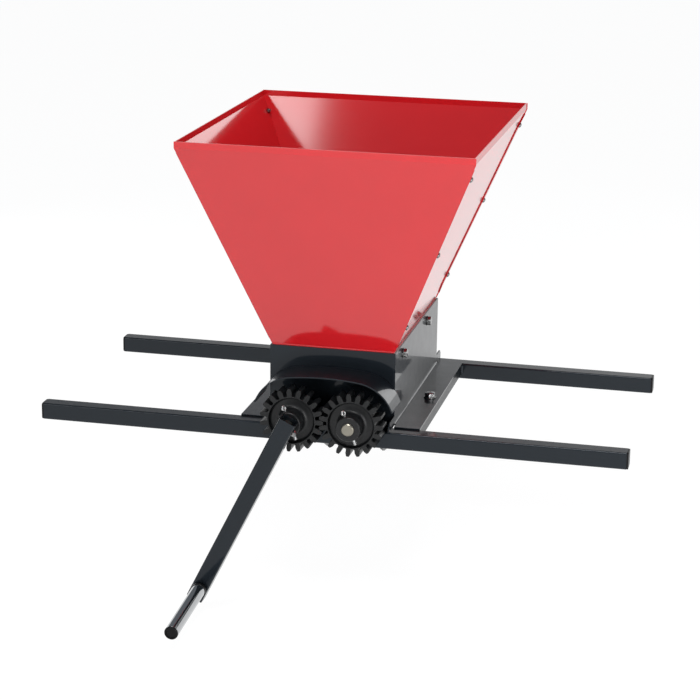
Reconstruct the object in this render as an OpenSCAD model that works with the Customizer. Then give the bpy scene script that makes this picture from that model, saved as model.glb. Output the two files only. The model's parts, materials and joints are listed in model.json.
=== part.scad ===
// Hand-cranked grape crusher. A sheet-steel hopper feeds two fluted rollers that a pair of
// gears turns against each other, all carried on two square bars that lie across a vat.
// X runs along the bars, -Y points to the person at the crank, Z is up from the bars' undersides.

/* [Support bars] */
// Length of each support bar over its end caps
bar_length = 950; // [760:10:1200]
// Side of the square bar tube
bar_side = 27; // [22:1:32]
// Wall of the bar tube
bar_wall = 2; // [1.5:0.25:3]
// Outer corner radius of every square tube
tube_corner = 2.5; // [1:0.5:3]
// Inner corner radius of every square tube
tube_inner_corner = 0.6; // [0.2:0.2:1]
// Gap between the body and the inner face of each bar
bar_gap = 11; // [10:0.5:20]
// Thickness of the flange on a bar's end cap
cap_flange = 3; // [2:0.5:5]
// Depth of the plug on a bar's end cap
cap_plug = 14; // [8:1:25]
// Wall of the plug on a bar's end cap
cap_plug_wall = 2; // [1.5:0.25:3]

/* [Cross rails] */
// Width of each cross rail, along the bars
rail_width = 42; // [32:1:60]
// Height of each cross rail
rail_height = 20; // [18:1:25]
// Wall of the cross rail tube
rail_wall = 2; // [1.5:0.25:3]
// Distance of each cross rail outside the side wall above it
rail_offset = 1; // [0:0.5:3]

/* [Body] */
// Sheet thickness of the four body walls
wall_sheet = 2.5; // [1.5:0.25:4]
// Depth of the body from front wall to rear wall, outside
body_depth = 355; // [250:5:450]
// Gap between a roller and the side wall beside it
roller_side_gap = 8.5; // [6:0.5:20]
// Height of the walls above the top of the rollers
throat_height = 56.5; // [54:0.5:90]
// Height of the lower edge of the front and rear walls
wall_bottom = 6; // [0:1:20]
// Width of the foot flange of a side wall
foot_width = 44; // [40:1:70]
// Length that the foot flange runs past the wall at each end
foot_overrun = 14; // [2:0.5:20]
// Inner radius of the bend above the foot flange
foot_bend = 2.5; // [1:0.5:5]
// Height of the lugs that rest on the bars
lug_height = 15; // [10:1:25]
// Cut corner at the tip of a lug
lug_chamfer = 5; // [1:1:8]
// Distance from the tip of a lug to the outer face of its bar
lug_margin = 0.5; // [0:0.5:8]
// Width of the return flanges of the front and rear walls
wall_return = 18; // [10:1:30]
// Gap above and below the return flanges
return_gap = 4; // [2:1:12]

/* [Hopper] */
// Width of the hopper's rim, outside
rim_width = 466; // [360:2:600]
// Depth of the hopper's rim, outside
rim_depth = 514; // [430:2:530]
// Height of the rim above the top of the walls
hopper_rise = 332; // [240:1:400]
// Height of the hopper's lower bend above the top of the walls
hopper_bend = 2; // [1:0.5:5]
// Height of the upright lip round the rim
rim_lip = 10; // [5:1:20]
// Sheet thickness of the hopper panels
hopper_sheet = 1.5; // [1:0.25:2.5]
// Depth of the hopper's skirt inside the walls
skirt_depth = 27; // [24:1:36]
// Width of the corner flanges that join the panels
corner_flange = 18; // [14:1:26]
// Distance of a corner flange from the bends above and below it
flange_margin = 8; // [4:1:20]
// Screws along each corner of the hopper
corner_screws = 3; // [2:1:5]
// Height of the lowest corner screws above the lower bend
lowest_screw = 42; // [32:1:60]
// Distance of the highest corner screws below the lip
highest_screw = 25; // [22:1:60]

/* [Gears] */
// Module of the two equal gears
gear_module = 5; // [4.5:0.25:6]
// Teeth on each gear
gear_teeth = 19; // [17:1:23]
// Width of the gear face
gear_face = 28; // [20:1:32]
// Height of a tooth above the pitch circle
tooth_addendum = 3.7; // [3:0.1:4.5]
// Depth of a tooth below the pitch circle
tooth_dedendum = 9; // [6:0.5:9.5]
// Radius of the fillet at the root of a tooth
root_fillet = 2; // [1:0.25:2.25]
// Radius of the rounded tip of a tooth
tip_round = 1.5; // [0.5:0.1:1.6]
// Play between the flanks of meshing teeth
tooth_backlash = 1.6; // [0.8:0.1:2.4]
// Diameter of the gear hub
hub_diameter = 39; // [34:1:46]
// Length of the hub in front of the gear face
hub_length = 21; // [18:1:32]
// Chamfer at the front end of the hub
hub_chamfer = 1; // [0.5:0.25:2]
// Depth of the dished web on each side of a gear
web_recess = 7; // [3:0.5:8]
// Rim between the dished web and the roots of the teeth
web_rim = 1.5; // [1:0.25:4]
// Radius of the fillet between the hub and the web
web_fillet = 6; // [2:0.5:6.5]
// Radius of the fillet between the web and the rim
web_corner = 3; // [1:0.5:4]
// Draft of the rim inside the web
web_draft = 1; // [0.5:0.25:2]
// Gap between the front bar and the gears
gear_gap = 8; // [2:0.5:15]

/* [Gear guard] */
// Sheet thickness of the guard
guard_sheet = 2; // [1.5:0.25:3]
// Gap between the gear teeth and the guard
guard_gap = 14; // [8:1:18]
// Rise of the guard's crown between the two gears
guard_crown = 3; // [2:0.5:8]
// Angle above the horizontal where the guard's flanks end
guard_end = 19; // [5:1:30]
// Length that the guard reaches past the front of the gears, less than nothing where they stand out
guard_reach = -12; // [-15:0.5:10]
// Place of the side tabs round the flanks, from upright
guard_tab_angle = 35; // [25:1:55]
// Width of the tabs that pass through the front wall
guard_tab_width = 14; // [8:1:20]
// Length of the tabs past the front wall's inner face
guard_tab_end = 1; // [0.5:0.5:3]

/* [Rollers and shafts] */
// Nip between the two rollers
roller_nip = 9; // [6:0.5:14]
// Flutes round each roller
flute_count = 18; // [12:1:24]
// Radius of each flute
flute_radius = 5; // [3:0.5:6]
// Depth of each flute
flute_depth = 4; // [2:0.5:5]
// Diameter of the shafts
shaft_diameter = 20; // [16:1:22]
// Chamfer at the ends of the shafts
shaft_chamfer = 1.5; // [0.5:0.25:3]
// Length of the driven shaft past its gear hub
driven_shaft_end = 3; // [1:0.5:10]
// Length of both shafts past their rear bushes
shaft_tail = 4; // [2:0.5:20]
// Gap between a shaft and the top of the front bar
shaft_gap = 8.5; // [6:0.5:20]
// Outer diameter of the shaft bushes
bush_diameter = 28; // [26:1:32]
// Diameter of the flange inside each bush
bush_flange_diameter = 38; // [36:1:44]
// Thickness of the flange inside each bush
bush_flange = 3; // [2:0.5:6]
// Length of each bush outside its wall
bush_boss = 8; // [4:1:16]
// Diameter of the pins that fix a roller to its shaft
roller_pin = 6; // [4:0.5:8]
// Distance of those pins from the ends of the roller
roller_pin_inset = 30; // [15:1:80]

/* [Crank] */
// Distance from the drive shaft to the handle
crank_throw = 305; // [200:1:380]
// Angle of the crank from straight down, towards the left bar ends
crank_angle = 26.2; // [0:0.1:90]
// Side of the square crank tube
arm_side = 27; // [24:1:30]
// Wall of the crank tube
arm_wall = 2; // [1.5:0.25:2.25]
// Length of the crank tube past the shaft
arm_head = 16; // [14:1:30]
// Length of the crank tube past the handle
arm_tail = 22; // [16:1:40]
// Diameter of the handle
handle_diameter = 22; // [18:1:30]
// Length of the handle over its end cap
handle_length = 149; // [100:1:200]
// Droop of the handle below level, as it hangs
handle_droop = 5; // [0:0.5:8]
// Wall of the handle at its open end
handle_wall = 2; // [1:0.25:2]
// Thickness of the flange on the handle's end cap
handle_cap_flange = 3; // [2:0.5:6]
// Depth of the plug on the handle's end cap
handle_cap_plug = 6; // [4:0.5:15]
// Rounding of the handle's end cap
handle_cap_round = 1; // [0.5:0.25:1.5]
// Diameter of the pin that the handle turns on
handle_pin_diameter = 12; // [8:1:12]
// Thickness of that pin's head
pin_head = 4; // [3:0.5:8]

/* [Fasteners] */
// Thread of the bolts that join the hopper to the walls
wall_bolt = 8; // [6:1:8]
// Distance between the two wall bolts of a side
wall_bolt_spacing = 200; // [100:5:240]
// Place of the middle of each pair of wall bolts, from the middle of the body
wall_bolt_place = -18; // [-30:1:30]
// Distance of the wall bolts below the top of the walls
wall_bolt_drop = 15; // [10:0.5:16]
// Thread of the bolts that hold the body to the cross rails
foot_bolt = 10; // [6:1:12]
// Place of the foot bolts along the rails, from the middle
foot_bolt_place = -26; // [-100:1:100]
// Distance of the foot bolts outside the middle of the rails
foot_bolt_shift = 6; // [0:0.5:6]
// Thread of the hopper's corner screws
corner_screw = 5; // [4:1:6]
// Diameter of the eye bolts through the gear hubs
hub_bolt = 4; // [3:0.5:5]
// Tilt of the hub bolts from upright
hub_bolt_tilt = -22; // [-90:1:90]
// Length of a hub bolt that stands out past the hub
hub_bolt_end = 10; // [2:1:14]
// Turn of the eyes of the hub bolts, from facing the crank
hub_eye_turn = 65; // [0:5:90]
// Thread of the countersunk bolt through the crank and its shaft
crank_bolt_size = 6; // [5:1:8]
// Thread that stands out past a nut
thread_end = 2; // [1:0.5:4]

/* [Clearances] */
// Radial play of a shaft or pin that turns
running_gap = 0.08; // [0.02:0.01:0.1]
// Radial play of a gear or roller on its shaft
seat_gap = 0.02; // [0.01:0.01:0.05]
// Radial play of a thread in its nut and of a plug in its tube
fit_gap = 0.05; // [0.02:0.01:0.1]
// Radial play of a bolt or pin in its hole
hole_gap = 0.2; // [0.1:0.05:0.4]
// Gap between sheets that are screwed together
sheet_gap = 0.2; // [0.1:0.05:0.5]
// Gap between the handle and the crank, and round the head of its pin
handle_gap = 0.4; // [0.3:0.1:0.8]
// Gap between turning pieces and what stands beside them
end_gap = 1; // [0.5:0.1:2]
// Gap between the driven shaft and the crank
sweep_gap = 2.5; // [1.5:0.5:6]

/* [Hidden] */
$fn = 48;
far = 2000;
crown_lift = 0.05;

// Gears, shafts and rollers
pressure_angle = 20;
pitch_radius = gear_module * gear_teeth / 2;
base_radius = pitch_radius * cos(pressure_angle);
tip_radius = pitch_radius + tooth_addendum;
root_radius = pitch_radius - tooth_dedendum;
web_radius = root_radius - web_rim;
hub_radius = hub_diameter / 2;
shaft_x = pitch_radius;
shaft_radius = shaft_diameter / 2;
shaft_z = bar_side + shaft_gap + shaft_radius;
roller_radius = shaft_x - roller_nip / 2;
bore_radius = shaft_radius + running_gap;
seat_radius = shaft_radius + seat_gap;

// Body walls and bars
half_width = shaft_x + roller_radius + roller_side_gap + wall_sheet;
half_depth = body_depth / 2;
wall_top = shaft_z + roller_radius + throat_height;
bar_y = half_depth + bar_gap + bar_side / 2;
bar_front = bar_y + bar_side / 2;
rail_x = half_width + rail_offset;
roller_length = 2 * (half_depth - wall_sheet - bush_flange - end_gap);
pin_y = roller_length / 2 - roller_pin_inset;
roller_pin_half = roller_radius - 2 * flute_depth;

// Stations along the shafts, measured towards the crank
gear_back = bar_front + gear_gap;
gear_front = gear_back + gear_face;
hub_front = gear_front + hub_length;
driven_end = hub_front + driven_shaft_end;
arm_back = driven_end + sweep_gap;
arm_front = arm_back + arm_side;
drive_end = arm_front - arm_wall - end_gap;
rear_end = half_depth + bush_boss + shaft_tail;
hub_bolt_y = gear_front + hub_length / 2;

// Gear guard: two flanks about the gears and a crown that blends into both, a hair above them
guard_radius = tip_radius + guard_gap + guard_sheet;
crown_offset = (shaft_x * shaft_x + guard_crown * guard_crown) / (2 * guard_crown);
crown_radius = guard_radius + crown_offset + crown_lift;
crown_z = shaft_z + guard_crown - crown_offset;
crown_half = shaft_x + guard_radius * shaft_x / crown_offset;
guard_front = gear_front + guard_reach;
guard_tab_half = guard_tab_width / 2;

// Hopper: an upright skirt, sloping panels and an upright lip
skirt_x = half_width - wall_sheet - sheet_gap;
skirt_y = half_depth - wall_sheet - sheet_gap;
flange_cover = sheet_gap + hopper_sheet / 2;
rim_x = rim_width / 2 - flange_cover;
rim_y = rim_depth / 2;
skirt_z = wall_top - skirt_depth;
slope_z = wall_top + hopper_bend;
rim_z = wall_top + hopper_rise;
lip_z = rim_z - rim_lip;
slope_x = atan((rim_x - skirt_x) / (lip_z - slope_z));
slope_y = atan((rim_y - skirt_y) / (lip_z - slope_z));
screw_low = slope_z + lowest_screw;
screw_high = lip_z - highest_screw;
screw_step = (screw_high - screw_low) / (corner_screws - 1);
screw_heights = [for (i = [0:corner_screws - 1]) screw_low + i * screw_step];
screw_inset = hopper_sheet + sheet_gap + corner_flange / 2;

// Bolts
wall_bolt_z = wall_top - wall_bolt_drop;
foot_bolt_x = rail_x + rail_width / 2 + foot_bolt_shift;
function flats(d) = round(1.65 * d);
function head_height(d) = 0.65 * d;
function nut_height(d) = 0.8 * d;
function washer_height(d) = 0.2 * d;

// Handle, measured along its pin from the middle of the crank tube
arm_middle = (arm_back + arm_front) / 2;
handle_x = -shaft_x - crank_throw * sin(crank_angle);
handle_z = shaft_z - crank_throw * cos(crank_angle);
arm_half = arm_side / 2 / cos(handle_droop);
handle_radius = handle_diameter / 2;
handle_bore = handle_pin_diameter / 2 + running_gap;
pin_head_bore = handle_radius - handle_wall;
handle_back = arm_half + handle_radius * tan(handle_droop) + handle_gap;
handle_front = handle_back + handle_length - handle_cap_flange;
pin_head_back = handle_front - handle_cap_plug - handle_gap - pin_head;
pin_nut_radius = flats(handle_pin_diameter) / 2 / cos(30);
pin_nut_front = arm_half + pin_nut_radius * tan(handle_droop) + fit_gap;

// Shapes that repeat

module rounded_rectangle(width, height, radius) {
    square([width, height - 2 * radius], center = true);
    square([width - 2 * radius, height], center = true);
    for (x = [-1, 1], y = [-1, 1])
        translate([x * (width / 2 - radius), y * (height / 2 - radius)]) circle(radius);
}

// A square tube's section
module tube_section(width, height, wall) {
    difference() {
        rounded_rectangle(width, height, tube_corner);
        rounded_rectangle(width - 2 * wall, height - 2 * wall, tube_inner_corner);
    }
}

// Carries a section drawn in X and Z along Y, centred on the origin
module along_y(length) {
    rotate([90, 0, 0]) linear_extrude(length, center = true) children();
}

// Carries a section drawn in -Y and Z along X, centred on the origin
module along_x(length) {
    rotate([90, 0, -90]) linear_extrude(length, center = true) children();
}

// Turns a shape that stands on +Z so that it points to the crank, at a given distance
module towards_crank(x, y, z) {
    translate([x, -y, z]) rotate([90, 0, 0]) children();
}

// Hexagon bolt: the head stands on Z = 0 and the shank hangs below
module hex_bolt(size, length) {
    cylinder(d = flats(size) / cos(30), h = head_height(size), $fn = 6);
    translate([0, 0, -length]) cylinder(d = size, h = length);
}

// Hexagon nut that hangs below Z = 0
module hex_nut(size) {
    translate([0, 0, -nut_height(size)]) difference() {
        cylinder(d = flats(size) / cos(30), h = nut_height(size), $fn = 6);
        translate([0, 0, -1]) cylinder(r = size / 2 + fit_gap, h = nut_height(size) + 2);
    }
}

// Washer that stands on Z = 0
module washer(size) {
    difference() {
        cylinder(r = size, h = washer_height(size));
        translate([0, 0, -1]) cylinder(r = size / 2 + hole_gap, h = washer_height(size) + 2);
    }
}

// Clearance hole through Z = 0
module bolt_hole(size, depth) {
    cylinder(r = size / 2 + hole_gap, h = 2 * depth, center = true);
}

// Support bars and rails

module bar(side) {
    translate([0, side * bar_y, bar_side / 2])
        along_x(bar_length - 2 * cap_flange) tube_section(bar_side, bar_side, bar_wall);
}

module front_bar() { color("#24272b") bar(-1); }

module rear_bar() { color("#24272b") bar(1); }

// A cap's flange covers the tube's end and its hollow plug fits inside
module end_cap() {
    inner = bar_side - 2 * bar_wall - 2 * hole_gap;
    linear_extrude(cap_flange) rounded_rectangle(bar_side, bar_side, tube_corner);
    translate([0, 0, -cap_plug]) linear_extrude(cap_plug) difference() {
        rounded_rectangle(inner, inner, tube_inner_corner);
        square(inner - 2 * cap_plug_wall, center = true);
    }
}

module bar_end_caps() {
    color("#17181a") for (x = [-1, 1], y = [-1, 1])
        translate([x * (bar_length / 2 - cap_flange), y * bar_y, bar_side / 2])
            rotate([0, 90 * x, 0]) end_cap();
}

module rail() {
    difference() {
        translate([rail_x + rail_width / 2, 0, bar_side - rail_height / 2])
            along_y(2 * bar_y - bar_side) tube_section(rail_width, rail_height, rail_wall);
        translate([foot_bolt_x, foot_bolt_place, bar_side]) bolt_hole(foot_bolt, rail_wall + 1);
    }
}

module left_rail() { color("#24272b") mirror([1, 0, 0]) rail(); }

module right_rail() { color("#24272b") rail(); }

// Body walls

// Wall, bend and foot flange of a side wall, in X and Z
module side_wall_section() {
    bend_x = half_width + foot_bend;
    bend_z = bar_side + wall_sheet + foot_bend;
    translate([half_width - wall_sheet, bend_z]) square([wall_sheet, wall_top - bend_z]);
    translate([bend_x, bar_side]) square([foot_width - foot_bend, wall_sheet]);
    intersection() {
        translate([bend_x, bend_z]) difference() {
            circle(foot_bend + wall_sheet);
            circle(foot_bend);
        }
        translate([half_width - wall_sheet, bar_side]) square(foot_bend + wall_sheet);
    }
}

// Lug at the foot of a side wall that rests on a bar, in Y and Z
module lug_section() {
    reach = bar_gap + bar_side - lug_margin;
    polygon([
        [-lug_height, 0], [reach, 0], [reach, lug_height - lug_chamfer],
        [reach - lug_chamfer, lug_height], [-lug_height, lug_height]
    ]);
}

module side_wall() {
    difference() {
        union() {
            along_y(body_depth) side_wall_section();
            for (side = [-1, 1]) {
                translate([half_width - wall_sheet / 2, side * half_depth, bar_side])
                    mirror([0, side > 0 ? 1 : 0, 0]) along_x(wall_sheet) lug_section();
                translate([half_width + foot_bend, side * half_depth - foot_overrun, bar_side])
                    cube([foot_width - foot_bend, 2 * foot_overrun, wall_sheet]);
            }
        }
        translate([foot_bolt_x, foot_bolt_place, bar_side]) bolt_hole(foot_bolt, wall_sheet + 1);
        for (y = [-1, 1])
            translate([half_width, wall_bolt_place + y * wall_bolt_spacing / 2, wall_bolt_z])
                rotate([0, 90, 0]) bolt_hole(wall_bolt, wall_sheet + 1);
    }
}

module left_wall() { color("#2b2e33") mirror([1, 0, 0]) side_wall(); }

module right_wall() { color("#2b2e33") side_wall(); }

// An end wall faces the crank; the rear one is its mirror image
module end_wall() {
    inner = half_width - wall_sheet;
    difference() {
        union() {
            translate([-inner, -half_depth, wall_bottom])
                cube([2 * inner, wall_sheet, wall_top - wall_bottom]);
            for (side = [0, 1]) mirror([side, 0, 0])
                translate([inner - wall_sheet, -half_depth, shaft_z + return_gap])
                    cube([wall_sheet, wall_return, skirt_z - shaft_z - 2 * return_gap]);
        }
        for (side = [-1, 1])
            towards_crank(side * shaft_x, half_depth, shaft_z)
                cylinder(d = bush_diameter, h = 3 * wall_sheet, center = true);
    }
}

module front_wall() {
    color("#1d1f22") difference() {
        end_wall();
        translate([0, -half_depth, 0]) along_y(3 * wall_sheet) guard_slots();
    }
}

module rear_wall() { color("#1d1f22") mirror([0, 1, 0]) end_wall(); }

// Gear guard

// Everything under the guard's crown and flanks, out to a depth below its outer face
module guard_region(depth) {
    for (side = [-1, 1]) translate([side * shaft_x, shaft_z]) circle(guard_radius - depth, $fn = 96);
    intersection() {
        translate([0, crown_z]) circle(crown_radius - depth, $fn = 360);
        translate([-crown_half, shaft_z]) square([2 * crown_half, far]);
    }
}

// Wedge about the right gear's axis between two angles, both measured from upright
module guard_wedge(from, to) {
    polygon([[shaft_x, shaft_z], for (a = [from, to]) [shaft_x + far * sin(a), shaft_z + far * cos(a)]]);
}

// Arched section of the guard; grow thickens it for the slots that its tabs pass through
module guard_arch(grow) {
    difference() {
        guard_region(-grow);
        guard_region(guard_sheet + grow);
        translate([-far, -far]) square([2 * far, far + shaft_z]);
        for (side = [0, 1]) mirror([side, 0]) guard_wedge(90 - guard_end, 90);
    }
}

// Where the three tabs pass through the front wall
module guard_tab_places(grow) {
    spread = asin((guard_tab_half + grow) / guard_radius);
    translate([-guard_tab_half - grow, shaft_z]) square([2 * (guard_tab_half + grow), far]);
    for (side = [0, 1]) mirror([side, 0]) guard_wedge(guard_tab_angle - spread, guard_tab_angle + spread);
}

// Slots in the front wall for the tabs
module guard_slots() {
    intersection() {
        guard_arch(sheet_gap);
        guard_tab_places(sheet_gap);
    }
}

module gear_guard() {
    tab_end = half_depth - wall_sheet - guard_tab_end;
    color("#202327") difference() {
        translate([0, -(tab_end + guard_front) / 2, 0]) along_y(guard_front - tab_end) guard_arch(0);
        translate([0, -half_depth + wall_sheet, 0]) along_y(2 * wall_sheet) difference() {
            square(far, center = true);
            guard_tab_places(0);
        }
    }
}

// Hopper

// Line of a panel's section at a depth below its outer face: skirt, slope and lip
function panel_line(low, high, slope, depth) =
    let (lift = depth * tan(slope / 2)) [
        [low - depth, skirt_z],
        [low - depth, slope_z + lift],
        [high - depth, lip_z + lift],
        [high - depth, rim_z]
    ];
function backwards(list) = [for (i = [len(list) - 1:-1:0]) list[i]];
function mirrored(list) = [for (p = backwards(list)) [-p[0], p[1]]];
// Half-width of a sloping face at a height, at a depth below the outer face
function slope_at(low, slope, z, depth) = low + (z - slope_z) * tan(slope) - depth / cos(slope);

module panel_section(low, high, slope) {
    polygon(concat(panel_line(low, high, slope, 0), backwards(panel_line(low, high, slope, hopper_sheet))));
}

// Everything inside the hopper's front and rear panels, as a section in Y and Z
module inside_end_panels() {
    line = panel_line(skirt_y, rim_y, slope_y, hopper_sheet + sheet_gap);
    polygon(concat(line, mirrored(line)));
}

// Outline of the front panel: the skirt stays inside the walls, the slope covers the side panels
module end_panel_outline() {
    line = [
        [skirt_x, skirt_z],
        [skirt_x, slope_z],
        [slope_at(skirt_x, slope_x, slope_z, -flange_cover), slope_z],
        [rim_x + flange_cover, lip_z - flange_cover * tan(slope_x / 2)],
        [rim_x + flange_cover, rim_z]
    ];
    polygon(concat(line, mirrored(line)));
}

// Strip that becomes a corner flange, tapered at both ends, in Y and Z
module corner_flange_outline() {
    low = slope_z + flange_margin;
    high = lip_z - flange_margin;
    inner = hopper_sheet + corner_flange;
    polygon([
        [slope_at(skirt_y, slope_y, low, hopper_sheet / 2), low],
        [slope_at(skirt_y, slope_y, high, hopper_sheet / 2), high],
        [slope_at(skirt_y, slope_y, high - corner_flange, inner), high - corner_flange],
        [slope_at(skirt_y, slope_y, low + corner_flange, inner), low + corner_flange]
    ]);
}

// A sheet that lies on the outside of the right panel's slope, in X and Z
module flange_section() {
    low = sheet_gap;
    polygon([
        [slope_at(skirt_x, slope_x, slope_z, -low), slope_z],
        [slope_at(skirt_x, slope_x, lip_z, -low), lip_z],
        [slope_at(skirt_x, slope_x, lip_z, -low - hopper_sheet), lip_z],
        [slope_at(skirt_x, slope_x, slope_z, -low - hopper_sheet), slope_z]
    ]);
}

// Places a shape on each corner screw, with Z pointing out of the side panel
module at_corner_screws(sides) {
    for (x = sides, y = [-1, 1], z = screw_heights)
        mirror([x < 0 ? 1 : 0, 0, 0])
            translate([slope_at(skirt_x, slope_x, z, 0), y * slope_at(skirt_y, slope_y, z, screw_inset), z])
                rotate([0, 90 + slope_x, 0]) children();
}

// Front panel with its two corner flanges; the rear panel is its mirror image
module end_panel() {
    difference() {
        union() {
            intersection() {
                along_x(far) panel_section(skirt_y, rim_y, slope_y);
                along_y(far) end_panel_outline();
            }
            for (side = [0, 1]) mirror([side, 0, 0]) intersection() {
                along_y(far) flange_section();
                along_x(far) corner_flange_outline();
            }
        }
        at_corner_screws([-1, 1]) bolt_hole(corner_screw, 4 * hopper_sheet);
    }
}

module side_panel() {
    difference() {
        intersection() {
            along_y(far) panel_section(skirt_x, rim_x, slope_x);
            along_x(far) inside_end_panels();
        }
        at_corner_screws([1]) bolt_hole(corner_screw, 4 * hopper_sheet);
        for (y = [-1, 1])
            translate([skirt_x, wall_bolt_place + y * wall_bolt_spacing / 2, wall_bolt_z])
                rotate([0, 90, 0]) bolt_hole(wall_bolt, 4 * hopper_sheet);
    }
}

module hopper_front_panel() { color("#cf1c26") end_panel(); }

module hopper_rear_panel() { color("#cf1c26") mirror([0, 1, 0]) end_panel(); }

module hopper_left_panel() { color("#cf1c26") mirror([1, 0, 0]) side_panel(); }

module hopper_right_panel() { color("#cf1c26") side_panel(); }

// Fasteners of the body

module hopper_screws() {
    seat = hopper_sheet + sheet_gap;
    length = seat + hopper_sheet + nut_height(corner_screw) + thread_end;
    color("#8c5a50") at_corner_screws([-1, 1]) translate([0, 0, seat]) {
        cylinder(d1 = 1.8 * corner_screw, d2 = 1.2 * corner_screw, h = 0.6 * corner_screw);
        translate([0, 0, -length]) cylinder(d = corner_screw, h = length);
    }
}

module hopper_nuts() {
    color("#b8babc") at_corner_screws([-1, 1]) translate([0, 0, -hopper_sheet]) hex_nut(corner_screw);
}

// Places a shape on each wall bolt, with Z pointing out of the side wall
module at_wall_bolts() {
    for (x = [-1, 1], y = [-1, 1])
        translate([x * half_width, wall_bolt_place + y * wall_bolt_spacing / 2, wall_bolt_z])
            rotate([0, 90 * x, 0]) children();
}

module wall_bolts() {
    grip = wall_sheet + sheet_gap + hopper_sheet;
    lift = washer_height(wall_bolt);
    color("#b8babc") at_wall_bolts() translate([0, 0, lift])
        hex_bolt(wall_bolt, lift + grip + nut_height(wall_bolt) + thread_end);
}

module wall_washers() { color("#c4c6c8") at_wall_bolts() washer(wall_bolt); }

module wall_nuts() {
    grip = wall_sheet + sheet_gap + hopper_sheet;
    color("#b8babc") at_wall_bolts() translate([0, 0, -grip]) hex_nut(wall_bolt);
}

// Places a shape on each foot bolt, on top of the foot flange
module at_foot_bolts() {
    for (side = [-1, 1])
        translate([side * foot_bolt_x, foot_bolt_place, bar_side + wall_sheet]) children();
}

module foot_bolts() {
    lift = washer_height(foot_bolt);
    color("#c4c6c8") at_foot_bolts() translate([0, 0, lift])
        hex_bolt(foot_bolt, lift + wall_sheet + rail_wall + nut_height(foot_bolt) + thread_end);
}

module foot_washers() { color("#c4c6c8") at_foot_bolts() washer(foot_bolt); }

// The nuts are welded under the top of each rail, inside the tube
module foot_nuts() {
    color("#b8babc") at_foot_bolts() translate([0, 0, -wall_sheet - rail_wall]) hex_nut(foot_bolt);
}

// Bushes, shafts and rollers

// The flange lies on the inside of its wall and the boss passes through it
module bush() {
    difference() {
        union() {
            translate([0, 0, -bush_flange]) cylinder(d = bush_flange_diameter, h = bush_flange);
            cylinder(d = bush_diameter, h = wall_sheet + bush_boss);
        }
        translate([0, 0, -far / 2]) cylinder(r = bore_radius, h = far);
    }
}

module front_bush(x) {
    color("#d8d4c6") towards_crank(x, half_depth - wall_sheet, shaft_z) bush();
}

module rear_bush(x) { mirror([0, 1, 0]) front_bush(x); }

module drive_front_bush() { front_bush(-shaft_x); }

module drive_rear_bush() { rear_bush(-shaft_x); }

module driven_front_bush() { front_bush(shaft_x); }

module driven_rear_bush() { rear_bush(shaft_x); }

// Round shaft along Y, chamfered at both ends, cross-drilled for its pins and bolts
module shaft(x, front) {
    length = front + rear_end;
    end_radius = shaft_radius - shaft_chamfer;
    difference() {
        towards_crank(x, -rear_end, shaft_z) rotate_extrude() polygon([
            [0, 0], [end_radius, 0], [shaft_radius, shaft_chamfer],
            [shaft_radius, length - shaft_chamfer], [end_radius, length], [0, length]
        ]);
        translate([x, 0, shaft_z]) {
            for (side = [-1, 1]) translate([0, side * pin_y, 0]) bolt_hole(roller_pin, shaft_diameter);
            translate([0, -arm_middle, 0])
                rotate([0, 90 + crank_angle, 0]) bolt_hole(crank_bolt_size, shaft_diameter);
        }
        at_hub_bolt(x) bolt_hole(hub_bolt, shaft_diameter);
    }
}

module drive_shaft() { color("#b3b1ab") shaft(-shaft_x, drive_end); }

module driven_shaft() { color("#b3b1ab") shaft(shaft_x, driven_end); }

// Roller cast with rounded flutes, bored for its shaft and drilled for two pins
module roller(x, turn) {
    translate([x, 0, shaft_z]) difference() {
        along_y(roller_length) difference() {
            circle(roller_radius, $fn = 120);
            for (i = [0:flute_count - 1])
                rotate(turn + i * 360 / flute_count)
                    translate([roller_radius + flute_radius - flute_depth, 0]) circle(flute_radius);
            circle(seat_radius);
        }
        for (side = [-1, 1])
            translate([0, side * pin_y, -roller_pin_half])
                cylinder(r = roller_pin / 2 + hole_gap, h = roller_radius + roller_pin_half);
    }
}

// Pins that cross the roller and its shaft
module roller_pins(x) {
    color("#9a9a98") for (side = [-1, 1])
        translate([x, side * pin_y, shaft_z - roller_pin_half + hole_gap])
            cylinder(d = roller_pin, h = 2 * (roller_pin_half - hole_gap));
}

module drive_roller() { color("#a9acae") roller(-shaft_x, 0); }

module drive_roller_pins() { roller_pins(-shaft_x); }

module driven_roller() { color("#a9acae") roller(shaft_x, 180 / flute_count); }

module driven_roller_pins() { roller_pins(shaft_x); }

// Gears

// Involute function, in degrees
function involute(angle) = tan(angle) * 180 / PI - angle;
// Half the angle that a tooth fills at a radius
function tooth_half(r) =
    let (thickness = PI * gear_module / 2 - tooth_backlash / 2,
         at_pitch = arc_angle(thickness / 2, pitch_radius),
         angle = acos(base_radius / max(r, base_radius)))
    at_pitch + involute(pressure_angle) - involute(angle);
function polar(r, angle) = [r * cos(angle), r * sin(angle)];
// Angle that a length fills on a circle
function arc_angle(length, r) = length / r * 180 / PI;

flank_steps = 6;
corner_steps = 3;
// One flank from the root fillet to the rounded tip, as [radius, half angle]
tooth_flank = concat(
    [for (i = [0:corner_steps])
        let (a = 90 * i / corner_steps)
        [root_radius + root_fillet * (1 - cos(a)),
         tooth_half(0) + arc_angle(root_fillet, root_radius) * (1 - sin(a))]],
    [for (i = [0:flank_steps])
        let (r = base_radius + i * (tip_radius - tip_round - base_radius) / flank_steps)
        [r, tooth_half(r)]],
    [for (i = [1:corner_steps])
        let (a = 90 * i / corner_steps)
        [tip_radius - tip_round * (1 - sin(a)),
         tooth_half(tip_radius - tip_round) - arc_angle(tip_round, tip_radius) * (1 - cos(a))]]
);

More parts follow.
